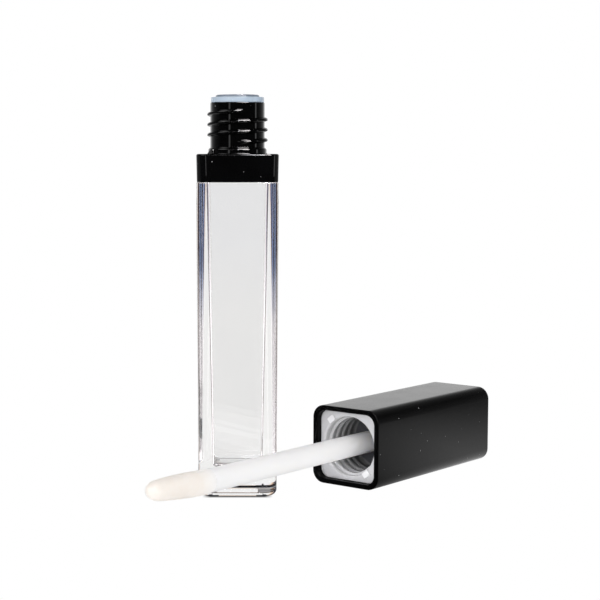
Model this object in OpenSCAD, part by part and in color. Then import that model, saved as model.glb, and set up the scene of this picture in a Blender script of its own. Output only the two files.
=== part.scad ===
// Square lip gloss tube: clear bottle, black screw neck and collar, wiper,
// and a square black cap that carries the applicator wand.
// The bottle stands on its base at the origin, +Z up, its front face towards -Y.
// The cap lies on one flat side at the bottle's right, wand pointing past the front.

/* [Square section] */
// Width of the collar's top and of the cap across the flats
body_w = 18; // [18:0.1:22]
// Radius of the upright corners of the collar and the cap
corner_r = 2.9; // [2:0.1:3.2]

/* [Clear bottle] */
// Height of the clear bottle, from the table to the joint under the collar
bottle_h = 69; // [55:0.5:80]
// Thickness of the solid clear base under the cavity
base_t = 6.2; // [5:0.1:12]
// How much narrower the clear bottle is at its foot than at its top
body_taper = 0.6; // [0:0.05:0.8]
// Radius of the upright corners of the clear bottle
bottle_corner_r = 3.15; // [2:0.05:3.4]
// Radius of the rounded edge round the foot of the bottle
foot_r = 1.3; // [0.8:0.1:1.6]
// Height of the clear spigot that plugs into the collar
spigot_h = 4.6; // [3:0.1:4.6]
// Width of the cavity at its mouth
cavity_top_w = 12.9; // [12:0.1:13]
// Width of the cavity at its floor
cavity_floor_w = 11.1; // [10:0.1:12]
// Radius of the cavity's upright corners
cavity_r = 0.8; // [0.7:0.1:2]
// Depth of the shallow recess in the underside
under_recess = 0.3; // [0.1:0.05:0.5]
// Width of the shallow recess in the underside
recess_w = 9.4; // [8:0.1:11]

/* [Collar and neck] */
// Height of the black square collar
collar_h = 6; // [6:0.1:9]
// How much narrower the collar is at its bottom than at its top
collar_taper = 0.3; // [0:0.05:0.4]
// Height of the rounding along the collar's top edge
shoulder_h = 0.4; // [0.3:0.1:1.4]
// How far the rounding draws in from the collar's sides
shoulder_in = 0.4; // [0.3:0.1:1.4]
// Diameter of the neck between its threads
neck_d = 12; // [11.8:0.05:12.1]
// Height of the neck above the collar
neck_h = 11.3; // [10:0.05:12]
// Bore through the neck
neck_bore = 9.4; // [9.2:0.05:9.6]
// Diameter of the low ring at the foot of the neck
bead_d = 12.9; // [12.4:0.1:13.1]

/* [Screw thread] */
// Outside diameter of the neck's thread
thread_d = 13.35; // [13:0.05:13.4]
// Pitch of the thread
thread_pitch = 2.24; // [2:0.01:2.5]
// Number of turns on the neck
thread_turns = 3.05; // [2:0.05:3.3]
// Height above the collar at which the thread starts
thread_z = 2.6; // [2.4:0.05:3]

/* [Wiper] */
// Diameter of the wiper's flange on top of the neck
wiper_flange_d = 11.7; // [11:0.1:11.9]
// Thickness of the wiper's flange
wiper_flange_t = 1.2; // [0.6:0.05:1.4]
// Diameter of the plain part that sits in the neck
wiper_plug_d = 9.3; // [9:0.05:9.38]
// Length of the wiper below its flange
wiper_l = 10.5; // [8:0.1:12]
// Hole at the bottom that wipes the stem
wiper_hole_d = 4.6; // [4.2:0.1:5]

/* [Cap] */
// Length of the cap's shell
cap_l = 48; // [40:0.5:60]
// Wall of the cap's shell
cap_wall = 1.1; // [1:0.05:1.4]
// Thickness of the cap's closed end
cap_end_t = 1.8; // [1.2:0.1:3]
// How far the white liner sits inside the cap's rim
liner_recess = 1.6; // [1:0.1:2]

/* [Applicator] */
// Length of the wand from the cap's rim to the tip
wand_l = 65.4; // [50:0.1:65.8]
// Diameter of the stem
stem_d = 4.9; // [4:0.1:5]
// Length of the flocked tip
tip_l = 18; // [14:0.5:20]
// Largest diameter of the flocked tip
tip_d = 5.25; // [4.8:0.05:5.6]
// Bend of the soft tip to one side
tip_bend = 2.6; // [0:0.2:4]

/* [Lying place of the cap] */
// Place of the centre of the cap's mouth, to the right of the bottle's axis
cap_x = 24.3; // [24:0.1:60]
// Place of the centre of the cap's mouth, behind the bottle's axis
cap_y = 2.5; // [1:0.1:6]
// Turn of the cap's length away from straight back
cap_yaw = 39.8; // [38:0.1:44]

/* [Hidden] */
$fn = 64;
collar_top = bottle_h + collar_h;
neck_top = collar_top + neck_h;
spigot_w = body_w - 3;
hw = body_w / 2;
thread_h = (thread_d - neck_d) / 2;
// flat top of the collar, inside its rounded edge
shoulder_top = collar_top - 0.3 + shoulder_h;
// the cap closes this far above the collar
closed_gap = 0.1;
// height of the wiper's top lip over the cap's rim plane when closed
lip_s = neck_top + wiper_flange_t + 0.5 - shoulder_top - closed_gap;
gasket_s = lip_s + 0.05;
gasket_t = 0.8;
liner_w = body_w - 2 * cap_wall - 0.06;
cap_inner_r = corner_r - 0.6;
liner_od = 15;
liner_major = 13.6;
liner_minor = 12.5;
liner_end_s = gasket_s + gasket_t;
boss_l = 8;
grip_pip = 0.4;
// height over the tip's end at which the tip bends
bend_z = tip_l - 2.5;

// ---- shared shapes -------------------------------------------------------

// flat square outline with round corners
module round_square(w, r) {
  square([w - 2 * r, w], center = true);
  square([w, w - 2 * r], center = true);
  for (x = [-1, 1], y = [-1, 1]) translate([x * (w / 2 - r), y * (w / 2 - r)]) circle(r);
}

// half of an upright section, with its outer foot and outer top edge rounded
module edge_profile(half, h, foot, top) {
  translate([0, foot]) square([half, h - foot - top]);
  square([half - foot, h - top]);
  translate([0, foot]) square([half - top, h - foot]);
  if (foot > 0) translate([half - foot, foot]) circle(foot);
  if (top > 0) translate([half - top, h - top]) circle(top);
}

// square block with round upright corners and rounded outer edges
module soft_block(w, r, h, foot, top) {
  span = w - 2 * r;
  for (a = [0, 90]) rotate([0, 0, a]) rotate([90, 0, 90])
    linear_extrude(height = span, center = true) {
      edge_profile(w / 2, h, foot, top);
      mirror([1, 0]) edge_profile(w / 2, h, foot, top);
    }
  for (x = [-1, 1], y = [-1, 1]) translate([x * span / 2, y * span / 2, 0])
    rotate_extrude() edge_profile(r, h, foot, top);
}

// one screw ridge as a twisted crescent: depth > 0 stands out from a neck, depth < 0 stands into a nut
module screw_ridge(r_root, depth, pitch, turns, spread) {
  n = 4;
  bed = 0.08 * sign(depth);
  back = 0.42 * sign(depth);
  function lift(t) = pow(max(0, cos(90 * t)), 0.7);
  linear_extrude(height = pitch * turns, twist = -360 * turns, slices = round(18 * turns), segments = 4 * n, convexity = 8)
    polygon(concat(
      [for (i = [-n : n]) let (a = spread * i / n, q = r_root - bed + (depth + bed) * lift(i / n)) [q * cos(a), q * sin(a)]],
      [for (i = [n : -1 : -n]) let (a = spread * i / n, q = r_root - back) [q * cos(a), q * sin(a)]]));
}

// lays a piece drawn upright (rim at z = 0, closed end up, wand down) on the table
module lie_down() {
  translate([cap_x, cap_y, hw]) rotate([0, 0, -cap_yaw]) rotate([-90, 0, 0]) children();
}

// ---- bottle --------------------------------------------------------------

// one thin level of a drafted square block
module level(w, r, z) {
  translate([0, 0, z]) linear_extrude(0.01) round_square(w, r, $fn = 32);
}

module bottle_body() {
  foot_w = body_w - 0.1 - body_taper;
  color([0.93, 0.94, 0.95, 0.35])
  difference() {
    union() {
      // drafted outside with a rounded foot
      hull() {
        for (a = [0 : 18 : 90]) level(foot_w - 2 * foot_r * (1 - sin(a)), bottle_corner_r - foot_r * (1 - sin(a)), foot_r * (1 - cos(a)));
        level(body_w - 0.1, bottle_corner_r, bottle_h - 0.01);
      }
      // spigot inside the collar
      translate([0, 0, bottle_h - 1]) linear_extrude(1 + spigot_h) round_square(spigot_w, 1.9);
    }
    // drafted cavity, open at the top
    hull() {
      level(cavity_floor_w - 1.2, cavity_r - 0.5, base_t);
      level(cavity_floor_w - 0.3, cavity_r - 0.1, base_t + 0.35);
      level(cavity_floor_w, cavity_r, base_t + 1.1);
      level(cavity_top_w, cavity_r, bottle_h + spigot_h + 0.5);
    }
    // shallow recess in the underside leaves a rim to stand on
    translate([0, 0, -1]) linear_extrude(1 + under_recess) round_square(recess_w, 1.5);
  }
}

module neck_collar() {
  color([0.04, 0.04, 0.045])
  difference() {
    union() {
      // drafted square collar with a rounded top edge
      translate([0, 0, bottle_h]) hull() {
        level(body_w - collar_taper, corner_r, 0);
        for (a = [0 : 18 : 90]) level(body_w - 2 * shoulder_in * (1 - cos(a)), corner_r - shoulder_in * (1 - cos(a)), collar_h - 0.31 + shoulder_h * sin(a));
      }
      // low ring and threaded neck
      translate([0, 0, collar_top - 0.5]) cylinder(h = 0.5 + 1.1, d = bead_d);
      translate([0, 0, collar_top + 1.1]) cylinder(h = 0.3, d1 = bead_d, d2 = bead_d - 0.6);
      translate([0, 0, collar_top - 0.5]) cylinder(h = neck_h + 0.5, d = neck_d);
      translate([0, 0, collar_top + thread_z - 0.25]) rotate([0, 0, -92])
        screw_ridge(neck_d / 2, thread_h, thread_pitch, thread_turns, 88);
      // two stop ramps at the foot of the neck, half a turn apart
      for (a = [205, 25]) rotate([0, 0, a]) stop_ramp();
    }
    // bore of the neck
    translate([0, 0, bottle_h - 1]) cylinder(h = 40, d = neck_bore);
    // socket for the bottle's spigot
    translate([0, 0, bottle_h - 1]) linear_extrude(1 + spigot_h + 0.1) round_square(spigot_w + 0.1, 1.95);
  }
}

// low wedge on the collar beside the neck that stops the cap from turning further
module stop_ramp() {
  translate([neck_d / 2 - 0.4, -1.4, collar_top - 0.5]) rotate([90, 0, 90])
    linear_extrude(height = 1.15) polygon([[0, 0], [2.8, 0], [2.8, 1.3], [2.5, 1.8], [2.1, 1.8], [0, 0.7]]);
}

module wiper() {
  z0 = neck_top;
  color([0.86, 0.9, 0.93, 0.8])
  translate([0, 0, z0]) rotate_extrude() polygon([
    [4.15, wiper_flange_t + 0.5], [4.6, wiper_flange_t + 0.5], [4.785, wiper_flange_t + 0.3], [4.785, wiper_flange_t],
    [wiper_flange_d / 2, wiper_flange_t], [wiper_flange_d / 2, 0],
    [wiper_plug_d / 2, 0], [wiper_plug_d / 2, -wiper_l * 0.55], [wiper_plug_d / 2 - 0.5, -wiper_l * 0.62],
    [3.1, -wiper_l + 0.5], [3.1, -wiper_l], [wiper_hole_d / 2, -wiper_l], [wiper_hole_d / 2, -wiper_l + 0.45],
    [3.55, -wiper_l * 0.62], [4.0, -wiper_l * 0.5], [4.0, wiper_flange_t + 0.2]]);
}

// ---- cap, drawn upright with its rim at z = 0 ------------------------------

module cap_shell() {
  color([0.05, 0.05, 0.055])
  lie_down() difference() {
    soft_block(body_w, corner_r, cap_l, 0, 0.35);
    translate([0, 0, -1]) linear_extrude(cap_l - cap_end_t + 1) round_square(body_w - 2 * cap_wall, cap_inner_r);
  }
}

module cap_liner() {
  color([0.93, 0.92, 0.9])
  lie_down() {
    difference() {
      union() {
        // square flange seen just inside the rim
        translate([0, 0, liner_recess]) linear_extrude(1.3) round_square(liner_w, cap_inner_r);
        // two small pips on the flange, in opposite corners
        for (a = [50, 230]) rotate([0, 0, a]) translate([7.55, 0, liner_recess + 0.1])
          cube([1.4, 1.9, 2 * grip_pip], center = true);
        // threaded tube and its end
        translate([0, 0, liner_recess]) cylinder(h = liner_end_s + 1.4 - liner_recess, d = liner_od);
        // boss that holds the stem
        translate([0, 0, liner_end_s + 1]) cylinder(h = boss_l + 0.4, d = 8.4);
        // four ribs that centre the boss in the shell
        for (a = [45, 135]) rotate([0, 0, a]) translate([-7.4, -0.5, liner_end_s + 1]) cube([14.8, 1, 5]);
      }
      translate([0, 0, -1]) cylinder(h = 1 + liner_end_s, d = liner_major);
      // eased edge of the bore
      translate([0, 0, liner_recess - 0.01]) cylinder(h = 0.3, d1 = liner_major + 0.62, d2 = liner_major);
      // socket for the stem
      translate([0, 0, -1]) cylinder(h = 1 + liner_end_s + boss_l, d = stem_d + 0.06);
    }
    // screw ridge inside the tube
    translate([0, 0, liner_recess + 0.6]) rotate([0, 0, 20])
      screw_ridge(liner_major / 2, -(liner_major - liner_minor) / 2, thread_pitch, 4.1, 80);
  }
}

module cap_gasket() {
  color([0.85, 0.86, 0.88])
  lie_down() translate([0, 0, gasket_s]) difference() {
    cylinder(h = gasket_t - 0.02, d = 12.3);
    translate([0, 0, -1]) cylinder(h = gasket_t + 2, d = stem_d + 0.1);
  }
}

// ---- applicator ----------------------------------------------------------

module stem() {
  color([0.95, 0.95, 0.94])
  lie_down() difference() {
    translate([0, 0, -(wand_l - tip_l)]) cylinder(h = wand_l - tip_l + liner_end_s + boss_l - 0.1, d = stem_d);
    // socket for the tip's core
    translate([0, 0, -(wand_l - tip_l) - 1]) cylinder(h = 7, d = 3.06);
  }
}

// places the straight root of the tip (second child) and the part beyond the bend (first child),
// both drawn with the end of the tip at z = 0
module bent() {
  translate([0, 0, -wand_l]) {
    translate([0, 0, bend_z]) rotate([-tip_bend, 0, 0]) translate([0, 0, -bend_z]) children(0);
    children(1);
  }
}

// round-ended rod of radius r, from its end at z0 up to the bend
module core_end(r, z0) {
  rotate_extrude() {
    translate([0, z0 + r]) square([r, bend_z + 0.2 - z0 - r]);
    intersection() {
      translate([0, z0 + r]) circle(r);
      translate([0, z0]) square([r, r + 0.1]);
    }
  }
}

// soft core of the applicator, plugged into the stem
module tip_core() {
  color([0.93, 0.9, 0.86])
  lie_down() bent() {
    core_end(1.7, 0.9);
    union() {
      translate([0, 0, bend_z]) cylinder(h = tip_l - 0.1 - bend_z, r = 1.72);
      translate([0, 0, bend_z]) cylinder(h = tip_l + 5.8 - bend_z, r = 1.5);
    }
  }
}

// outer shape of the flocked coat beyond the bend: a slim bullet
module tip_outline() {
  r = tip_d / 2;
  polygon(concat(
    [for (i = [0 : 12]) let (a = i * 90 / 12) [r * 0.81 * sin(a), 3.1 - 3.1 * cos(a)]],
    [[r * 0.878, 5], [r * 0.94, 8], [r * 0.98, 12], [r - 0.01, bend_z], [r - 0.02, bend_z + 0.25], [0, bend_z + 0.25]]));
}

module tip_flock() {
  r = tip_d / 2;
  color([0.96, 0.92, 0.86])
  lie_down() difference() {
    bent() {
      rotate_extrude() tip_outline();
      rotate_extrude() polygon([[0, bend_z], [r, bend_z], [r, tip_l - 1], [stem_d / 2 + 0.06, tip_l - 0.05], [0, tip_l - 0.05]]);
    }
    // room for the core
    bent() {
      core_end(1.74, 0.86);
      translate([0, 0, bend_z]) cylinder(h = tip_l - bend_z + 1, r = 1.76);
    }
  }
}

bottle_body();
neck_collar();
wiper();
cap_shell();
cap_liner();
cap_gasket();
stem();
tip_core();
tip_flock();
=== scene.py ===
import bpy
import math
import numpy as np
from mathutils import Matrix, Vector


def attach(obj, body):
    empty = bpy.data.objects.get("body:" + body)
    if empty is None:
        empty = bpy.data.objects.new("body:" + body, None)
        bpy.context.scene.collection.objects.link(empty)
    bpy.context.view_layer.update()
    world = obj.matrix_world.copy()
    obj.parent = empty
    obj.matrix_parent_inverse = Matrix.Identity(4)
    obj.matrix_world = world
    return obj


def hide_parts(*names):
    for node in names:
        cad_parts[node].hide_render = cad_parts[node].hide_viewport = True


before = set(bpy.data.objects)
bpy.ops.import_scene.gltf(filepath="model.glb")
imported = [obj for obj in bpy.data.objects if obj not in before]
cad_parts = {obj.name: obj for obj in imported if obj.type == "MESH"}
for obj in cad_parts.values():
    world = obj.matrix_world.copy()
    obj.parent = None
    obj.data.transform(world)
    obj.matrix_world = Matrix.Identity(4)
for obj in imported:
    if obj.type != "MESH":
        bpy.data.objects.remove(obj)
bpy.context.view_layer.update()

# ---------------------------------------------------------------- dimensions, mm, as in the CAD
W = 18.0
R = 2.9
BOTTLE_H = 69.0
TAPER = 0.6
BASE_T = 6.2
FOOT = 1.3
RB = 3.15
RECESS_W = 9.4
COLLAR_H = 6.0
TOP = BOTTLE_H + COLLAR_H
NECK_D = 12.0
NECK_H = 11.3
FLANGE_T = 1.2
SHOULDER_H, SHOULDER_IN = 0.4, 0.4
CREST = TOP - 0.3 + SHOULDER_H
NECK_TOP = TOP + NECK_H
PITCH = 2.24
CAP_L = 48.0
WALL = 1.1
RECESS = 1.6
WAND = 65.4
TIP_L = 18.0
STEM_D = 4.9
TIP_D = 5.25
BEND_Z = 15.5
BEND = math.radians(2.6)
CAP_POS = (24.3, 2.5, 9.0)
YAW = math.radians(39.8)
U = np.array([math.cos(YAW), -math.sin(YAW), 0.0])
A = np.array([math.sin(YAW), math.cos(YAW), 0.0])
LIP_S = NECK_TOP + FLANGE_T + 0.5 - CREST - 0.1
GASKET_S = LIP_S + 0.05
LINER_END = GASKET_S + 0.8


def lie(p):
    """A point drawn upright in the cap's own frame (rim at z = 0, wand down) to where the cap lies."""
    p = np.asarray(p, float)
    return np.array(CAP_POS) + p[:, :1] * U + p[:, 2:3] * A + p[:, 1:2] * np.array([0.0, 0.0, -1.0])


# ---------------------------------------------------------------- mesh helpers
class Shape:
    def __init__(self):
        self.v, self.f, self.m, self.n = [], [], [], 0

    def add(self, pts, faces, mat=0):
        k = self.n
        pts = np.asarray(pts, float)
        self.v.append(pts)
        self.n += len(pts)
        self.f += [tuple(i + k for i in f) for f in faces]
        self.m += [mat] * len(faces)
        return k

    def loft(self, rings, start=True, end=True, mat=0, flip=False, loop=True, bands=None):
        n = len(rings[0])
        pts = np.vstack(rings)
        faces = []
        first = len(self.f)
        for j in range(len(rings) - 1):
            for i in range(n if loop else n - 1):
                a, b = j * n + i, j * n + (i + 1) % n
                q = (a, b, b + n, a + n)
                faces.append(q[::-1] if flip else q)
        if start:
            q = tuple(range(n))[::-1]
            faces.append(q[::-1] if flip else q)
        if end:
            q = tuple((len(rings) - 1) * n + i for i in range(n))
            faces.append(q[::-1] if flip else q)
        self.add(pts, faces, mat)
        # bands: {material: rows of faces that carry it}
        for m, rows in (bands or {}).items():
            for j in rows:
                for i in range(n):
                    self.m[first + j * n + i] = m

    def build(self, name, mats, lying=False, weighted=True, sharp=None):
        v = np.vstack(self.v)
        if lying:
            v = lie(v)
        me = bpy.data.meshes.new(name)
        me.from_pydata((v * 0.001).tolist(), [], self.f)
        for m in mats:
            me.materials.append(m)
        me.polygons.foreach_set("material_index", self.m)
        me.polygons.foreach_set("use_smooth", [True] * len(self.f))
        me.update()
        o = bpy.data.objects.new(name, me)
        bpy.context.scene.collection.objects.link(o)
        if sharp is not None:
            me.set_sharp_from_angle(angle=math.radians(sharp))
        if weighted:
            w = o.modifiers.new("normals", "WEIGHTED_NORMAL")
            w.mode = "FACE_AREA"
            w.weight = 50
            w.keep_sharp = True
        return o


def rsq(w, r, z, nc=12, ns=8):
    """A ring round a square of width w with corner radius r at height z."""
    r = max(r, 0.02)
    c = w / 2 - r
    out = []
    for k in range(4):
        sx, sy = ((1, 1), (-1, 1), (-1, -1), (1, -1))[k]
        arc = [(sx * c + r * math.cos(math.radians(k * 90 + t)), sy * c + r * math.sin(math.radians(k * 90 + t))) for t in np.linspace(0, 90, nc + 1)]
        out += arc
        nx, ny = ((-1, 1), (-1, -1), (1, -1), (1, 1))[k]
        t0 = math.radians(k * 90 + 90)
        b = (nx * c + r * math.cos(t0), ny * c + r * math.sin(t0))
        for s in range(1, ns):
            f = s / ns
            out.append((arc[-1][0] * (1 - f) + b[0] * f, arc[-1][1] * (1 - f) + b[1] * f))
    return np.array([(x, y, z) for x, y in out])


def circ(r, z, n=96, like=None):
    """A circle; like = a ring whose angles it copies, so the two can be lofted."""
    if like is not None:
        a = np.arctan2(like[:, 1], like[:, 0])
    else:
        a = np.arange(n) * 2 * math.pi / n
    return np.stack([r * np.cos(a), r * np.sin(a), np.full(len(a), z)], 1)


def lathe(shape, profile, n=96, start=True, end=True, mat=0, flip=False):
    shape.loft([circ(r, z, n) for r, z in profile], start, end, mat, flip)


def bead(points, r, steps=4):
    """Rounds the corners of a profile of (radius, z) points with small arcs of size r."""
    out = [points[0]]
    for i in range(1, len(points) - 1):
        p, a, b = (np.array(points[j], float) for j in (i, i - 1, i + 1))
        la, lb = np.linalg.norm(a - p), np.linalg.norm(b - p)
        d = min(r, la * 0.45, lb * 0.45)
        if d < 1e-6:
            out.append(tuple(p))
            continue
        pa, pb = p + (a - p) / la * d, p + (b - p) / lb * d
        for t in np.linspace(0, 1, steps + 1):
            out.append(tuple((1 - t) ** 2 * pa + 2 * t * (1 - t) * p + t**2 * pb))
    out.append(points[-1])
    return out


def helix(shape, r_root, height, z0, a0, turns, half_w, per_turn=80, fade=28, sign=1, mat=0, flat=False):
    """A screw ridge with rounded crest and ends that fade into the root."""
    n = int(per_turn * turns)
    prof = [(-1.0, -0.22), (-1.0, 0.0), (-0.86, 0.2), (-0.7, 0.52), (-0.5, 0.82), (-0.25, 0.97), (0, 1.0), (0.25, 0.97), (0.5, 0.82), (0.7, 0.52), (0.86, 0.2), (1.0, 0.0), (1.0, -0.22)]
    if flat:
        prof = [(-1.0, -0.22), (-1.0, 0.0), (-0.95, 0.3), (-0.78, 0.86), (-0.70, 0.97), (-0.5, 1.0), (0.5, 1.0), (0.70, 0.97), (0.78, 0.86), (0.95, 0.3), (1.0, 0.0), (1.0, -0.22)]
    rings = []
    for i in range(n + 1):
        a = turns * 360 * i / n
        e = min(1.0, min(a, turns * 360 - a) / fade)
        e = math.sin(e * math.pi / 2) ** 0.8
        th = math.radians(a0 + a)
        z = z0 + PITCH * a / 360
        ring = []
        for t, h in prof:
            hh = h * height * (e if h > 0 else 1) - (1 - e) * 0.1
            rr = r_root + sign * hh
            ring.append((rr * math.cos(th), rr * math.sin(th), z + t * half_w * (0.35 + 0.65 * e)))
        rings.append(np.array(ring))
    shape.loft(rings, True, True, mat, flip=sign < 0)


# ---------------------------------------------------------------- materials
def mat_new(name):
    m = bpy.data.materials.new(name)
    m.use_nodes = True
    nt = m.node_tree
    b = nt.nodes["Principled BSDF"]
    return m, nt, b


def node(nt, kind, **kw):
    n = nt.nodes.new(kind)
    for k, v in kw.items():
        setattr(n, k, v)
    return n


def noise(nt, scale, detail=4.0, rough=0.55, coord=None):
    if coord is None:
        coord = nt.nodes.new("ShaderNodeTexCoord").outputs["Object"]
    n = node(nt, "ShaderNodeTexNoise")
    n.inputs["Scale"].default_value = scale
    n.inputs["Detail"].default_value = detail
    n.inputs["Roughness"].default_value = rough
    nt.links.new(coord, n.inputs["Vector"])
    return n.outputs["Fac"], coord


def ramp(nt, src, stops):
    r = node(nt, "ShaderNodeValToRGB")
    e = r.color_ramp.elements
    while len(e) < len(stops):
        e.new(0.5)
    for i, (p, c) in enumerate(stops):
        e[i].position = p
        e[i].color = (*c, 1) if isinstance(c, tuple) else (c, c, c, 1)
    nt.links.new(src, r.inputs["Fac"])
    return r.outputs["Color"]


def maprange(nt, src, a, b, lo, hi):
    m = node(nt, "ShaderNodeMapRange")
    for k, v in (("From Min", a), ("From Max", b), ("To Min", lo), ("To Max", hi)):
        m.inputs[k].default_value = v
    nt.links.new(src, m.inputs["Value"])
    return m.outputs["Result"]


def bump(nt, b, src, strength, dist):
    n = node(nt, "ShaderNodeBump")
    n.inputs["Strength"].default_value = strength
    n.inputs["Distance"].default_value = dist
    nt.links.new(src, n.inputs["Height"])
    nt.links.new(n.outputs["Normal"], b.inputs["Normal"])
    return n


def math_node(nt, op, a, b=None):
    n = node(nt, "ShaderNodeMath", operation=op)
    for i, x in enumerate((a, b)):
        if x is None:
            continue
        if isinstance(x, (int, float)):
            n.inputs[i].default_value = x
        else:
            nt.links.new(x, n.inputs[i])
    return n.outputs[0]


def clear_plastic():
    m, nt, b = mat_new("clear_bottle")
    b.inputs["Transmission Weight"].default_value = 1.0
    b.inputs["IOR"].default_value = 1.57
    wave, co = noise(nt, 90, 2.0)
    fine, _ = noise(nt, 1400, 2.0, coord=co)
    nt.links.new(ramp(nt, wave, [(0.3, (0.982, 0.982, 0.984)), (0.7, (0.994, 0.994, 0.995))]), b.inputs["Base Color"])
    nt.links.new(maprange(nt, fine, 0.35, 0.75, 0.0, 0.035), b.inputs["Roughness"])
    bump(nt, b, wave, 0.05, 0.0002)
    return m


def black_gloss(name, rough=(0.03, 0.07), relief=0.03, grain=5200, dust_at=0.845, base=(0.0012, 0.0022), mottle=0.5, ior=1.5):
    m, nt, b = mat_new(name)
    cloud, co = noise(nt, 160, 5.0)
    fine, _ = noise(nt, grain, 3.0, coord=co)
    specks, _ = noise(nt, 1900, 0.0, coord=co)
    dust = maprange(nt, specks, dust_at, dust_at + 0.02, 0.0, 1.0)
    tone = ramp(nt, cloud, [(0.3, (base[0], base[0], base[0] * 1.1)), (0.75, (base[1], base[1], base[1] * 1.1))])
    mix = node(nt, "ShaderNodeMix", data_type="RGBA")
    nt.links.new(dust, mix.inputs[0])
    nt.links.new(tone, mix.inputs[6])
    mix.inputs[7].default_value = (0.22, 0.22, 0.22, 1)
    nt.links.new(mix.outputs[2], b.inputs["Base Color"])
    b.inputs["IOR"].default_value = ior
    h = math_node(nt, "ADD", math_node(nt, "MULTIPLY", fine, 1 - mottle), math_node(nt, "MULTIPLY", cloud, mottle))
    nt.links.new(maprange(nt, h, 0.35, 0.7, rough[0], rough[1]), b.inputs["Roughness"])
    bump(nt, b, h, relief, 0.00004)
    return m


def milky(name, colour, shade, rough=(0.3, 0.45), sss=0.25, radius=0.0012, trans=0.0, grain=2200):
    m, nt, b = mat_new(name)
    cloud, co = noise(nt, 220, 4.0)
    fine, _ = noise(nt, grain, 3.0, coord=co)
    nt.links.new(ramp(nt, cloud, [(0.3, shade), (0.7, colour)]), b.inputs["Base Color"])
    nt.links.new(maprange(nt, fine, 0.3, 0.7, rough[0], rough[1]), b.inputs["Roughness"])
    b.inputs["Subsurface Weight"].default_value = sss
    b.inputs["Subsurface Radius"].default_value = (1.0, 0.95, 0.85)
    b.inputs["Subsurface Scale"].default_value = radius
    b.inputs["Transmission Weight"].default_value = trans
    b.inputs["IOR"].default_value = 1.5
    bump(nt, b, fine, 0.12, 0.00003)
    return m


def along(nt, co, lo, hi):
    """0 to 1 between two places along the cap's axis, in mm from its mouth (the wand's side is negative)."""
    off = node(nt, "ShaderNodeVectorMath", operation="SUBTRACT")
    nt.links.new(co, off.inputs[0])
    off.inputs[1].default_value = tuple(0.001 * c for c in CAP_POS)
    dot = node(nt, "ShaderNodeVectorMath", operation="DOT_PRODUCT")
    nt.links.new(off.outputs[0], dot.inputs[0])
    dot.inputs[1].default_value = tuple(float(c) for c in A)
    return maprange(nt, dot.outputs["Value"], lo * 0.001, hi * 0.001, 0.0, 1.0)


def blend(nt, k, a, c):
    mix = node(nt, "ShaderNodeMix", data_type="RGBA")
    nt.links.new(k, mix.inputs[0])
    for i, x in ((6, a), (7, c)):
        if isinstance(x, tuple):
            mix.inputs[i].default_value = (*x, 1)
        else:
            nt.links.new(x, mix.inputs[i])
    return mix.outputs[2]


def bore_mat():
    m, nt, b = mat_new("liner_bore_shaded")
    cloud, co = noise(nt, 220, 4.0)
    fine, _ = noise(nt, 2200, 3.0, coord=co)
    # the bore is a lit and shaded copy of the liner's white: lighter than the flange near the mouth (painted light)
    near = ramp(nt, cloud, [(0.3, (0.80, 0.80, 0.81)), (0.7, (0.88, 0.88, 0.89))])
    # painted shade: the bore's colour is darkened with depth along the cap's axis, down to a fifth at 9 mm past the
    # recess
    painted_depth_shade = ramp(nt, along(nt, co, RECESS, RECESS + 9.0), [(0.0, 1.0), (0.35, 0.60), (0.7, 0.34), (1.0, 0.20)])
    mix = node(nt, "ShaderNodeMix", data_type="RGBA", blend_type="MULTIPLY")
    mix.inputs[0].default_value = 1.0
    nt.links.new(near, mix.inputs[6])
    nt.links.new(painted_depth_shade, mix.inputs[7])
    nt.links.new(mix.outputs[2], b.inputs["Base Color"])
    nt.links.new(maprange(nt, fine, 0.3, 0.7, 0.3, 0.45), b.inputs["Roughness"])
    b.inputs["IOR"].default_value = 1.5
    bump(nt, b, fine, 0.12, 0.00003)
    return m


def flock_mat(name, tone=1.0):
    m, nt, b = mat_new(name)
    cloud, co = noise(nt, 420, 5.0)
    fine, _ = noise(nt, 6500, 4.0, 0.7, coord=co)
    cream = (ramp(nt, cloud, [(0.3, (0.925 * tone, 0.86 * tone, 0.795 * tone)), (0.7, (0.95 * tone, 0.90 * tone, 0.85 * tone))]))
    nt.links.new(blend(nt, along(nt, co, TIP_L - WAND - 5.0, TIP_L - WAND), cream, (0.965, 0.945, 0.935)), b.inputs["Base Color"])
    nt.links.new(maprange(nt, fine, 0.2, 0.8, 0.75, 0.98), b.inputs["Roughness"])
    b.inputs["Sheen Weight"].default_value = 0.6
    b.inputs["Sheen Roughness"].default_value = 0.4
    b.inputs["Subsurface Weight"].default_value = 0.3
    b.inputs["Subsurface Radius"].default_value = (1.0, 0.9, 0.8)
    b.inputs["Subsurface Scale"].default_value = 0.001
    bump(nt, b, fine, 0.5, 0.00008)
    return m


CLEAR = clear_plastic()
NECK = black_gloss("neck_black")
SHELL = black_gloss("cap_black", (0.10, 0.24), 0.16, 6500, 0.86, mottle=0.25, ior=1.46)
WIPER = milky("wiper_pe", (0.62, 0.72, 0.84), (0.50, 0.61, 0.74), (0.10, 0.28), sss=0.2, trans=0.2)
RIM = black_gloss("cap_rim_black", (0.30, 0.45), 0.1, 6500, 0.92, (0.0006, 0.0012), ior=1.14)
# dark gloss put on the clear bottle's foot corners and recess walls: painted shade, not a part of its own
FOOT_SHADE = black_gloss("foot_painted_shade", (0.3, 0.5), 0.1, 5200, 0.95, (0.010, 0.030))
# a darker copy of the wiper's plastic for the lip: painted shade of the dark inside seen through the thin ring
LIP_SHADED = milky("wiper_lip_painted_shade", (0.26, 0.30, 0.36), (0.17, 0.20, 0.25), (0.10, 0.25), sss=0.0, trans=0.0)
LINER = milky("liner_white", (0.72, 0.72, 0.735), (0.65, 0.65, 0.665), sss=0.0)
BORE = bore_mat()
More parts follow.
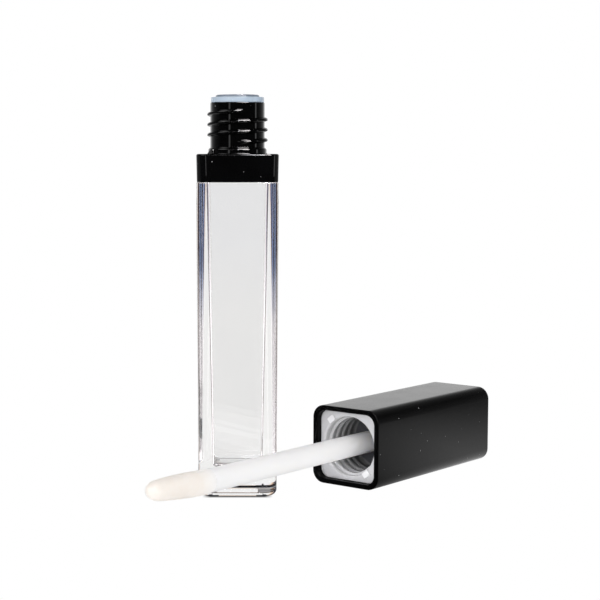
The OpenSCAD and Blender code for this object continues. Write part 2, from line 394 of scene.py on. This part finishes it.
# a brighter copy of the liner's white for the pips: painted light
PIP_LIT = milky("liner_pip_painted_light", (0.95, 0.95, 0.96), (0.90, 0.90, 0.92), sss=0.0)
STEM = milky("stem_white", (0.965, 0.955, 0.96), (0.945, 0.935, 0.94), (0.3, 0.42), sss=0.35, radius=0.0012)
GASKET = milky("washer_pe", (0.10, 0.10, 0.11), (0.07, 0.07, 0.08), (0.5, 0.7), sss=0.0)
CORE = milky("core_elastomer", (0.9, 0.87, 0.82), (0.86, 0.82, 0.77), (0.5, 0.7), sss=0.1)
FLOCK = flock_mat("flock", 0.99)
FIBRE = flock_mat("flock_fibre", 1.0)


# ---------------------------------------------------------------- clear bottle
def fine(w, r, z):
    return rsq(w, r, z, 24, 8)


def make_bottle():
    s = Shape()
    top_w = W - 0.1
    foot_w = top_w - TAPER
    q = RECESS_W
    rings = [fine(q - 0.6, 1.3, 0.3), fine(q - 0.25, 1.42, 0.27), fine(q - 0.05, 1.48, 0.16), fine(q + 0.05, 1.52, 0.03), fine(q + 0.2, 1.58, 0.0)]
    w0, r0 = foot_w - 2 * FOOT, RB - FOOT
    rings.append(fine(w0 - 0.6, r0, 0.0))
    for a in np.linspace(0, 90, 12):
        k = math.sin(math.radians(a))
        rings.append(fine(w0 + 2 * FOOT * k, r0 + FOOT * k, FOOT * (1 - math.cos(math.radians(a)))))
    z1 = BOTTLE_H - 0.25
    for z in np.linspace(FOOT, z1, 10)[1:]:
        rings.append(fine(foot_w + (top_w - foot_w) * (z - FOOT) / (z1 - FOOT), RB, z))
    for a in (30, 60, 90):
        k = 1 - math.cos(math.radians(a))
        rings.append(fine(top_w - 0.5 * k, RB - 0.25 * k, z1 + 0.25 * math.sin(math.radians(a)) - (0.0 if a < 90 else 0.0)))
    # spigot up inside the collar
    rings += [fine(15.2, 2.0, BOTTLE_H), fine(15.0, 1.9, BOTTLE_H + 0.15), fine(15.0, 1.9, BOTTLE_H + 4.4), fine(14.6, 1.7, BOTTLE_H + 4.6)]
    # cavity
    ct, cb, cr = 13.0, 11.0, 0.55
    rings += [fine(13.2, 0.8, BOTTLE_H + 4.6), fine(ct, cr, BOTTLE_H + 4.35)]
    zt = BOTTLE_H + 5.1
    zb = BASE_T + 1.1
    for z in np.linspace(BOTTLE_H + 4.0, zb, 10):
        rings.append(fine(cb + (ct - cb) * (z - zb) / (zt - zb), cr, z))
    for a in np.linspace(0, 90, 9)[1:]:
        k = 1 - math.cos(math.radians(a))
        rings.append(fine(cb - 2 * 1.1 * k, cr + 0.3 * k, zb - 1.1 * math.sin(math.radians(a))))
    rings.append(fine(cb - 2.2 - 3, 0.4, BASE_T - 0.02))
    # the recess walls (face rows 1 to 3) take the dark painted-shade material
    s.loft(rings, True, True, bands={1: range(1, 4)})
    # painted shade on the corners of the foot: dark where the edge turns under, most at both ends of each corner
    n = len(rings[0])
    per = n // 4
    for j in range(6, 17):
        turn = (j - 5.5) * 90 / 11
        for i in range(n):
            k = i % per
            if k < 24:
                t = (k + 0.5) * 90 / 24
                t = min(t, 90 - t)
                reach = 66 - 0.9 * t
            else:
                k = min(k - 24, per - 1 - k)
                reach = (52, 0)[min(k, 1)]
            if turn < reach:
                s.m[j * n + i] = 1
    return s.build("clear_bottle", [CLEAR, FOOT_SHADE])


# ---------------------------------------------------------------- collar, neck, thread
def make_neck():
    s = Shape()
    bw = W - 0.3
    side = TOP - 0.3
    rings = [rsq(15.1, 1.95, BOTTLE_H + 4.7), rsq(15.1, 1.95, BOTTLE_H + 0.15), rsq(15.4, 2.0, BOTTLE_H + 0.0), rsq(bw - 0.3, R - 0.1, BOTTLE_H), rsq(bw - 0.06, R, BOTTLE_H + 0.06), rsq(bw, R, BOTTLE_H + 0.18)]
    for z in np.linspace(BOTTLE_H + 0.18, side, 5)[1:]:
        rings.append(rsq(bw + 0.3 * (z - BOTTLE_H) / COLLAR_H, R, z))
    # soft shoulder
    for a in np.linspace(0, 90, 13)[1:]:
        k = SHOULDER_IN * (1 - math.cos(math.radians(a)))
        rings.append(rsq(W - 2 * k, R - k, side + SHOULDER_H * math.sin(math.radians(a))))
    base = rsq(14.6, 1.4, CREST)
    rings.append(base)
    for r, z in bead([(6.75, CREST), (6.45, CREST + 0.02), (6.45, TOP + 1.1), (6.15, TOP + 1.4), (6.0, TOP + 1.5), (6.0, NECK_TOP), (4.7, NECK_TOP), (4.7, BOTTLE_H + 4.8)], 0.16):
        rings.append(circ(r, z, like=base))
    rings.append(circ(4.75, BOTTLE_H + 4.7, like=base))
    s.loft(rings, False, False)
    # close the underside of the top plate
    n = len(rings[0])
    s.loft([rings[-1], rings[0]], False, False)
    # thread: lower end at the front, just over three turns
    helix(s, 6.0, 0.675, TOP + 2.6, -92, 3.05, 0.55)
    # stop ramps, half a turn apart
    for a in (205, 25):
        c, sn = math.cos(math.radians(a)), math.sin(math.radians(a))
        prof = [(-1.4, -0.3), (-1.4, 0.16), (-1.3, 0.3), (0.6, 1.22), (0.85, 1.3), (1.1, 1.28), (1.3, 1.05), (1.4, 0.8), (1.4, -0.3)]
        rings2 = []
        for x, g in ((5.6, 1.0), (6.5, 1.0), (6.68, 0.95), (6.75, 0.85)):
            rings2.append(np.array([(x * c - t * g * sn, x * sn + t * g * c, TOP + (z if z < 0 else z * g)) for t, z in prof]))
        s.loft(rings2, True, True)
    return s.build("neck_and_collar", [NECK])


# ---------------------------------------------------------------- wiper
def make_wiper():
    s = Shape()
    ft = FLANGE_T
    lip = [(3.98, ft - 0.4), (4.0, ft + 0.2), (4.15, ft + 0.5), (4.6, ft + 0.5), (4.785, ft + 0.32), (4.785, ft + 0.02), (4.9, ft)]
    rest = [(4.9, ft), (5.85, ft), (5.85, 0.0), (4.65, 0.0), (4.65, -5.8), (4.15, -6.5), (3.1, -10.0), (3.1, -10.5), (2.3, -10.5), (2.3, -10.05), (3.55, -6.5), (4.0, -5.25), (3.98, ft - 0.4)]
    # the lip (material 1) takes the darker copy of the wiper's plastic: painted shade
    for pts, m in ((lip, 1), (rest, 0)):
        lathe(s, [(r, NECK_TOP + z) for r, z in bead(pts, 0.14)], 128, False, False, mat=m, flip=True)
    return s.build("wiper_insert", [WIPER, LIP_SHADED])


# ---------------------------------------------------------------- cap
def make_shell():
    s = Shape()
    ri = R - 0.6
    wi = W - 2 * WALL
    depth = CAP_L - 1.8
    rings = [rsq(wi - 4, 1.0, depth), rsq(wi - 0.6, ri - 0.3, depth), rsq(wi, ri, depth - 0.3)]
    for s_ in np.linspace(depth - 0.6, 0.9, 6):
        rings.append(rsq(wi, ri, s_))
    rings += [rsq(wi, ri, 0.2), rsq(wi + 0.08, ri + 0.04, 0.07), rsq(wi + 0.28, ri + 0.14, 0.0)]
    rings += [rsq(W - 0.34, R - 0.17, 0.0), rsq(W - 0.1, R - 0.05, 0.07), rsq(W, R, 0.22)]
    for s_ in np.linspace(0.6, CAP_L - 0.5, 10):
        rings.append(rsq(W, R, s_))
    e = 0.35
    for a in np.linspace(0, 90, 7):
        k = 1 - math.cos(math.radians(a))
        rings.append(rsq(W - 2 * e * k, R - e * k, CAP_L - e + e * math.sin(math.radians(a))))
    rings.append(rsq(W - 4, R - 1, CAP_L))
    s.loft(rings, True, True, flip=False, bands={1: range(0, 14)})
    o = s.build("cap_shell_black", [SHELL, RIM], lying=True)
    return o


def make_liner():
    s = Shape()
    ri = R - 0.6
    lw = W - 2 * WALL - 0.06
    base = rsq(lw, ri, RECESS + 0.2)
    ref = base
    rings = [circ(7.5, LINER_END + 1.4, like=ref), circ(7.5, RECESS + 1.3, like=ref), rsq(lw, ri, RECESS + 1.3), base, rsq(lw - 0.1, ri - 0.05, RECESS + 0.05), rsq(lw - 0.3, ri - 0.1, RECESS), rsq(lw - 0.9, ri - 0.2, RECESS)]
    rings += [circ(7.2, RECESS, like=ref), circ(7.1, RECESS + 0.02, like=ref), circ(6.88, RECESS + 0.2, like=ref), circ(6.8, RECESS + 0.36, like=ref)]
    for z in np.linspace(RECESS + 0.9, LINER_END, 8):
        rings.append(circ(6.8, z, like=ref))
    rings += [circ(2.6, LINER_END, like=ref), circ(2.48, LINER_END + 0.1, like=ref), circ(2.48, LINER_END + 8.0, like=ref)]
    # the bore walls (material 2) take the bore material with its painted light and depth shade
    s.loft(rings, False, True, flip=True, bands={2: range(9, len(rings) - 1)})
    # closed end and boss behind it
    lathe(s, bead([(7.5, LINER_END + 1.4), (4.2, LINER_END + 1.4), (4.2, LINER_END + 9.4), (0.05, LINER_END + 9.4)], 0.25), 96, False, True)
    for a in (45, 135):
        c, sn = math.cos(math.radians(a)), math.sin(math.radians(a))
        rr = []
        for z in (LINER_END + 1.2, LINER_END + 5.8, LINER_END + 6.0):
            g = 7.35 if z < LINER_END + 5.9 else 7.15
            rr.append(np.array([(x * c - y * sn, x * sn + y * c, z) for x, y in ((-g, -0.5), (g, -0.5), (g, 0.5), (-g, 0.5))]))
        s.loft(rr, True, True)
    helix(s, 6.8, 0.55, RECESS + 1.35, 20, 4.15, 0.52, sign=-1, fade=40, mat=2, flat=True)
    # two pips in opposite corners of the flange, in a brighter copy of the liner's white: painted light
    for a in (50, 230):
        c, sn = math.cos(math.radians(a)), math.sin(math.radians(a))
        rr = []
        for z, g in ((RECESS + 0.1, 0.0), (RECESS - 0.2, 0.0), (RECESS - 0.27, 0.03), (RECESS - 0.3, 0.12)):
            ring = rsq(1.0, 0.12, z, 4, 2)
            rr.append(np.array([((7.55 + x * (1.4 - 2 * g)) * c - y * (1.9 - 2 * g) * sn, (7.55 + x * (1.4 - 2 * g)) * sn + y * (1.9 - 2 * g) * c, z) for x, y, _ in ring]))
        s.loft(rr, True, True, mat=1, flip=True)
    return s.build("cap_liner_white", [LINER, PIP_LIT, BORE], lying=True)


def make_washer():
    s = Shape()
    prof = bead([(2.5, GASKET_S + 0.4), (2.5, GASKET_S), (6.15, GASKET_S), (6.15, GASKET_S + 0.78), (2.5, GASKET_S + 0.78), (2.5, GASKET_S + 0.4)], 0.1)
    lathe(s, prof, 96, False, False, flip=False)
    return s.build("sealing_washer", [GASKET], lying=True)


def make_stem():
    s = Shape()
    r = STEM_D / 2
    z0 = -(WAND - TIP_L)
    prof = bead([(1.55, z0 + 3), (1.55, z0), (r - 0.04, z0), (r, z0 + 0.6), (r, z0 + 12), (r, -20), (r, 0), (r, LINER_END + 7.9), (0.05, LINER_END + 7.9)], 0.12)
    lathe(s, prof, 96, True, True)
    return s.build("applicator_stem", [STEM], lying=True)


TIP_PROFILE = [(2.126 * math.sin(math.radians(a)), 3.1 - 3.1 * math.cos(math.radians(a))) for a in range(0, 91, 6)] + [
    (2.30, 5.0), (2.46, 8.0), (2.57, 12.0), (2.61, 14.0), (2.62, 15.5), (2.60, 16.6), (2.55, 17.3), (2.49, 17.9)]


def tip_radius(z):
    p = np.array(TIP_PROFILE)
    return float(np.interp(z, p[:, 1], p[:, 0]))


def bend_tip(p):
    """Bends points, given with z = 0 at the tip's end, past BEND_Z towards -y over a short stretch."""
    p = np.array(p, float)
    out = p.copy()
    z = p[:, 2]
    soft = 2.0
    for i in range(len(p)):
        d = BEND_Z + soft / 2 - z[i]
        if d <= 0:
            continue
        if d < soft:
            ang = BEND * d / soft
            yc, zc = -BEND * d * d / (2 * soft), BEND_Z + soft / 2 - d
        else:
            ang = BEND
            yc = -BEND * soft / 2 - (d - soft) * math.sin(BEND)
            zc = BEND_Z - soft / 2 - (d - soft) * math.cos(BEND)
        out[i] = (p[i, 0], yc + p[i, 1] * math.cos(ang), zc + p[i, 1] * math.sin(ang))
    out[:, 2] -= WAND
    return out


def make_core():
    s = Shape()
    prof = [(0.05, 0.9)] + [(1.68 * math.sin(math.radians(a)), 2.6 - 1.7 * math.cos(math.radians(a))) for a in range(15, 91, 15)]
    prof += [(1.68, z) for z in np.linspace(4, 17.7, 10)] + [(1.5, 17.85), (1.5, 23.8), (0.05, 23.8)]
    s.loft([bend_tip(circ(r, z, 64)) for r, z in prof])
    return s.build("tip_core_soft", [CORE], lying=True)


def make_flock():
    s = Shape()
    rng = np.random.default_rng(7)
    n = 120
    zs = np.concatenate([3.1 - 3.1 * np.cos(np.radians(np.linspace(3, 88, 22))), np.linspace(3.3, 17.2, 74), [17.5, 17.75, 17.88]])
    jit = 1 + 0.006 * rng.standard_normal((len(zs), n))
    jit = np.clip((jit + np.roll(jit, 1, 1) + np.roll(jit, 1, 0)) / 3, 0.98, 1.01)
    rings = []
    for k, z in enumerate(zs):
        r = tip_radius(z) - 0.07
        th = 2 * math.pi * np.arange(n) / n
        rr = r * jit[k]
        rings.append(bend_tip(np.stack([rr * np.cos(th), rr * np.sin(th), np.full(n, z)], 1)))
    rings.append(bend_tip(circ(2.46, 17.93, n)))
    s.loft(rings, True, True)
    base = s.build("flock_coat", [FLOCK], lying=True, sharp=50)
    # the fibres themselves
    f = Shape()
    count = 22000
    pts, faces = [], []
    k = 0
    while k < count:
        z = 17.9 * rng.random()
        th = 2 * math.pi * rng.random()
        r = tip_radius(z)
        if rng.random() > r / 2.6 + 0.1:
            continue
        slope = (tip_radius(z + 0.05) - tip_radius(max(z - 0.05, 0.0))) / (0.1 if z > 0.05 else z + 0.05)
        nrm = np.array([math.cos(th), math.sin(th), -slope])
        nrm /= np.linalg.norm(nrm)
        d = nrm + 0.55 * rng.standard_normal(3)
        d /= np.linalg.norm(d)
        if d @ nrm < 0.25:
            continue
        rb = r - 0.09
        p = np.array([rb * math.cos(th), rb * math.sin(th), z])
        e = p + d * (0.10 + 0.08 * rng.random())
        if math.hypot(e[0], e[1]) > 2.66 or e[2] < -0.05 or e[2] > 17.94:
            continue
        a = np.cross(d, [0.3, 0.5, 0.8])
        a /= np.linalg.norm(a)
        b = np.cross(d, a)
        m = len(pts)
        for q, w in ((p, 0.012), (e, 0.006)):
            for j in range(3):
                t = 2 * math.pi * j / 3
                pts.append(q + (a * math.cos(t) + b * math.sin(t)) * w)
        faces += [(m + j, m + (j + 1) % 3, m + 3 + (j + 1) % 3, m + 3 + j) for j in range(3)]
        k += 1
    f.add(bend_tip(np.array(pts)), faces)
    fib = f.build("flock_fibres", [FIBRE], lying=True, weighted=False)
    return base, fib


bottle = make_bottle()
neck = make_neck()
wiper = make_wiper()
shell = make_shell()
liner = make_liner()
washer = make_washer()
stem = make_stem()
core = make_core()
coat, fibres = make_flock()

for o, body, cad, slot in (
    (bottle, "bottle", "bottle_body", "clear_bottle"),
    (neck, "bottle", "neck_collar", "black_gloss"),
    (wiper, "wiper", "wiper", "wiper_pe"),
    (shell, "cap", "cap_shell", "black_cap"),
    (liner, "cap", "cap_liner", "liner_white"),
    (washer, "washer", "cap_gasket", "gasket_pe"),
    (stem, "cap", "stem", "stem_white"),
    (core, "cap", "tip_core", "core_elastomer"),
    (coat, "cap", "tip_flock", "flock"),
    (fibres, "cap", None, "flock"),
):
    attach(o, body)
    if cad:
        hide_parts(cad)

# ---------------------------------------------------------------- stage, light, camera
scene = bpy.context.scene
scene.view_settings.view_transform = "Standard"
scene.view_settings.look = "None"


def by_ray(nt, eye, soft, mirror, through):
    """A shader for the set: what the eye sees, what lights matt surfaces, what gloss mirrors, what shows through clear plastic."""
    lp = nt.nodes.new("ShaderNodeLightPath")
    last = mirror
    for name, sh in (("Is Transmission Ray", through), ("Is Diffuse Ray", soft), ("Is Camera Ray", eye)):
        mix = nt.nodes.new("ShaderNodeMixShader")
        nt.links.new(lp.outputs[name], mix.inputs[0])
        nt.links.new(last, mix.inputs[1])
        nt.links.new(sh, mix.inputs[2])
        last = mix.outputs[0]
    return last


def floor():
    me = bpy.data.meshes.new("floor")
    n, size = 40, 2.2
    v, f = [], []
    for j in range(n + 1):
        for i in range(n + 1):
            x, y = (i / n - 0.5) * 2 * size, (j / n - 0.5) * 2 * size
            v.append((x, y, 0.0))
    for j in range(n):
        for i in range(n):
            a = j * (n + 1) + i
            f.append((a, a + 1, a + n + 2, a + n + 1))
    me.from_pydata(v, [], f)
    m = bpy.data.materials.new("floor_paper")
    m.use_nodes = True
    nt = m.node_tree
    nt.nodes.remove(nt.nodes["Principled BSDF"])
    out = nt.nodes["Material Output"]
    def glow(strength, colour=None):
        e = nt.nodes.new("ShaderNodeEmission")
        e.inputs["Color"].default_value = (1, 1, 1, 1)
        if colour is not None:
            nt.links.new(colour, e.inputs["Color"])
        if isinstance(strength, float):
            e.inputs["Strength"].default_value = strength
        else:
            nt.links.new(strength, e.inputs["Strength"])
        return e.outputs[0]
    co = nt.nodes.new("ShaderNodeTexCoord").outputs["Object"]
    sep = nt.nodes.new("ShaderNodeSeparateXYZ")
    nt.links.new(co, sep.inputs[0])
    # white behind the object, grey to its sides and in front
    side = maprange(nt, math_node(nt, "ABSOLUTE", sep.outputs["X"]), 0.05, 0.16, 1.0, 0.0)
    back = maprange(nt, sep.outputs["Y"], -0.01, 0.03, 0.0, 1.0)
    k = math_node(nt, "MULTIPLY", side, back)
    front = maprange(nt, sep.outputs["Y"], -0.03, 0.01, FLOOR_FRONT, FLOOR_SIDE)
    mirror = glow(math_node(nt, "MAXIMUM", front, math_node(nt, "MULTIPLY", k, FLOOR_BACK)))
    # painted contact shadow: the paper under the bottle's foot is dimmed to 0.8 for what shows through the clear
    # plastic
    far = math_node(nt, "MAXIMUM", math_node(nt, "ABSOLUTE", sep.outputs["X"]), math_node(nt, "ABSOLUTE", sep.outputs["Y"]))
    shade = maprange(nt, far, 0.0080, 0.0100, 0.80, 1.0)
    # direction on the floor from the bottle's axis, 1 straight behind and 0 straight in front
    unit = node(nt, "ShaderNodeVectorMath", operation="NORMALIZE")
    nt.links.new(co, unit.inputs[0])
    way = nt.nodes.new("ShaderNodeSeparateXYZ")
    nt.links.new(unit.outputs[0], way.inputs[0])
    reach = node(nt, "ShaderNodeVectorMath", operation="LENGTH")
    nt.links.new(co, reach.inputs[0])
    # near the object the paper is bright on every side
    near = maprange(nt, reach.outputs["Value"], 0.34, 0.80, 1.0, 0.0)
    mix = node(nt, "ShaderNodeMix", data_type="RGBA")
    nt.links.new(near, mix.inputs[0])
    nt.links.new(ramp(nt, maprange(nt, way.outputs["Y"], -1.0, 1.0, 0.0, 1.0), THROUGH), mix.inputs[6])
    nt.links.new(ramp(nt, maprange(nt, way.outputs["Y"], -1.0, 1.0, 0.0, 1.0), THROUGH_NEAR), mix.inputs[7])
    sideways = maprange(nt, way.outputs["Y"], -0.1, 0.3, 1.2, 0.0)
    boost = math_node(nt, "ADD", 1.0, math_node(nt, "MULTIPLY", near, sideways))
    clear = glow(math_node(nt, "MULTIPLY", shade, boost), mix.outputs[2])
    # painted contact shadow: seen directly, the paper right under the bottle's foot is darkened
    ax = math_node(nt, "ABSOLUTE", sep.outputs["X"])
    ay = math_node(nt, "ABSOLUTE", sep.outputs["Y"])
    under = math_node(nt, "MULTIPLY", maprange(nt, ax, 0.0060, 0.0078, 1.0, 0.0), maprange(nt, ay, 0.0080, 0.0094, 1.0, 0.0))
    eye = glow(math_node(nt, "SUBTRACT", 1.0, math_node(nt, "MULTIPLY", under, 0.92)))
    nt.links.new(by_ray(nt, eye, glow(FLOOR_SOFT), mirror, clear), out.inputs["Surface"])
    me.materials.append(m)
    o = bpy.data.objects.new("floor", me)
    scene.collection.objects.link(o)


FLOOR_FRONT, FLOOR_SIDE, FLOOR_BACK, FLOOR_SOFT = 0.02, 0.13, 0.90, 1.05
# colours behind and beside the object as they show through clear plastic, from in front (0) to behind (1)
THROUGH = [(0.0, 0.03), (0.10, 0.06), (0.17, (0.70, 0.66, 0.68)), (0.24, (0.16, 0.26, 0.60)), (0.33, (0.42, 0.56, 0.86)), (0.42, (0.12, 0.17, 0.44)), (0.50, (0.60, 0.52, 0.60)), (0.60, (0.08, 0.12, 0.28)), (0.70, (0.03, 0.03, 0.06)), (0.88, (0.06, 0.04, 0.035)), (0.925, (0.34, 0.22, 0.16)), (0.948, (0.92, 0.68, 0.50)), (0.962, (0.92, 0.84, 0.76)), (0.970, (0.95, 0.945, 0.94)), (1.0, (0.95, 0.95, 0.955))]
THROUGH_NEAR = [(0.0, 0.03), (0.12, 0.08), (0.22, (1.0, 0.95, 0.96)), (0.45, (1.0, 0.95, 0.96)), (0.62, (0.42, 0.40, 0.44)), (0.80, (0.25, 0.22, 0.22)), (0.88, (0.70, 0.60, 0.55)), (0.94, 0.96), (1.0, (0.965, 0.96, 0.95))]
floor()


def area(name, az, el, dist, w, h, power, colour=(1, 1, 1), target=(0.02, 0.0, 0.04), matt=False):
    """A soft box at an azimuth clockwise from the camera's side, seen from the object."""
    a, e = math.radians(az), math.radians(el)
    t = Vector(target)
    loc = t + Vector((math.sin(a) * math.cos(e), -math.cos(a) * math.cos(e), math.sin(e))) * dist
    d = bpy.data.lights.new(name, "AREA")
    d.shape = "RECTANGLE"
    d.size = w
    d.size_y = h
    d.energy = power
    d.color = colour
    o = bpy.data.objects.new(name, d)
    o.location = loc
    o.rotation_euler = (t - loc).to_track_quat("-Z", "Y").to_euler()
    o.visible_diffuse = matt
    scene.collection.objects.link(o)
    return o


# azimuth is to the right of the camera as seen from the object
area("key_right_upper", 34, 62, 0.80, 0.40, 0.20, 14.0, (1.0, 0.95, 0.95))
area("key_right_lower", 34, 24, 0.80, 0.40, 0.12, 8.0, (1.0, 0.97, 0.97))
area("small_front_upper", 1.5, 56, 0.80, 0.05, 0.14, 1.2, (0.96, 0.96, 1.0))
area("small_front_lower", 1.5, 26, 0.80, 0.05, 0.14, 1.2, (0.96, 0.96, 1.0))
area("fill_left", -77, 48, 0.9, 0.45, 0.45, 1.6)
area("edge_front", 0, 20, 0.9, 0.90, 0.03, 0.7, (1.0, 0.95, 0.97))
area("strip_left", -34, 3, 0.9, 0.10, 0.50, 0.16)
area("strip_right", 82, 3, 0.9, 0.14, 0.50, 0.25)
area("soft_key", 25, 55, 0.9, 0.45, 0.45, 0.9, matt=True)

fill = area("fill_mouth", -14, 12, 0.9, 0.30, 0.30, 2.4, target=(0.024, 0.003, 0.009), matt=True)
fill.visible_glossy = False
fill.visible_transmission = False

world = bpy.data.worlds.new("studio")
scene.world = world
world.use_nodes = True
wn = world.node_tree
out = wn.nodes["World Output"]
wn.nodes.remove(wn.nodes["Background"])
tc = wn.nodes.new("ShaderNodeTexCoord")
sep = wn.nodes.new("ShaderNodeSeparateXYZ")
wn.links.new(tc.outputs["Generated"], sep.inputs[0])


def sky(colour, strength=1.0):
    b = wn.nodes.new("ShaderNodeBackground")
    if isinstance(colour, float):
        b.inputs["Color"].default_value = (colour, colour, colour, 1)
    else:
        wn.links.new(colour, b.inputs["Color"])
    if isinstance(strength, float):
        b.inputs["Strength"].default_value = strength
    else:
        wn.links.new(strength, b.inputs["Strength"])
    return b.outputs[0]


# bright sheet behind the object (+Y), dim at the sides and dark on the camera's side
turn = maprange(wn, sep.outputs["Y"], -1.0, 1.0, 0.0, 1.0)
mirror = ramp(wn, turn, [(0.0, 0.012), (0.35, 0.015), (0.50, 0.05), (0.70, 0.10), (0.86, 0.40), (0.93, 0.93), (1.0, 0.95)])
high = maprange(wn, sep.outputs["Z"], 0.12, 0.45, 1.0, 0.25)
through = ramp(wn, turn, THROUGH)
soft = maprange(wn, sep.outputs["Z"], -0.2, 1.0, 0.60, 0.78)
wn.links.new(by_ray(wn, sky(1.0), sky(1.0, soft), sky(mirror, high), sky(through)), out.inputs["Surface"])

cam_d = bpy.data.cameras.new("camera")
cam_d.sensor_width = 36.0
cam_d.lens = 36.0 * 1552.0 / 600.0
cam_d.shift_x = (300.0 - 233.1) / 600.0
cam_d.clip_start = 0.01
cam = bpy.data.objects.new("camera", cam_d)
cam.location = (-0.00097, -0.34408, 0.07476)
cam.rotation_euler = (math.radians(90 - 5.32), 0, 0)
scene.collection.objects.link(cam)
scene.camera = cam
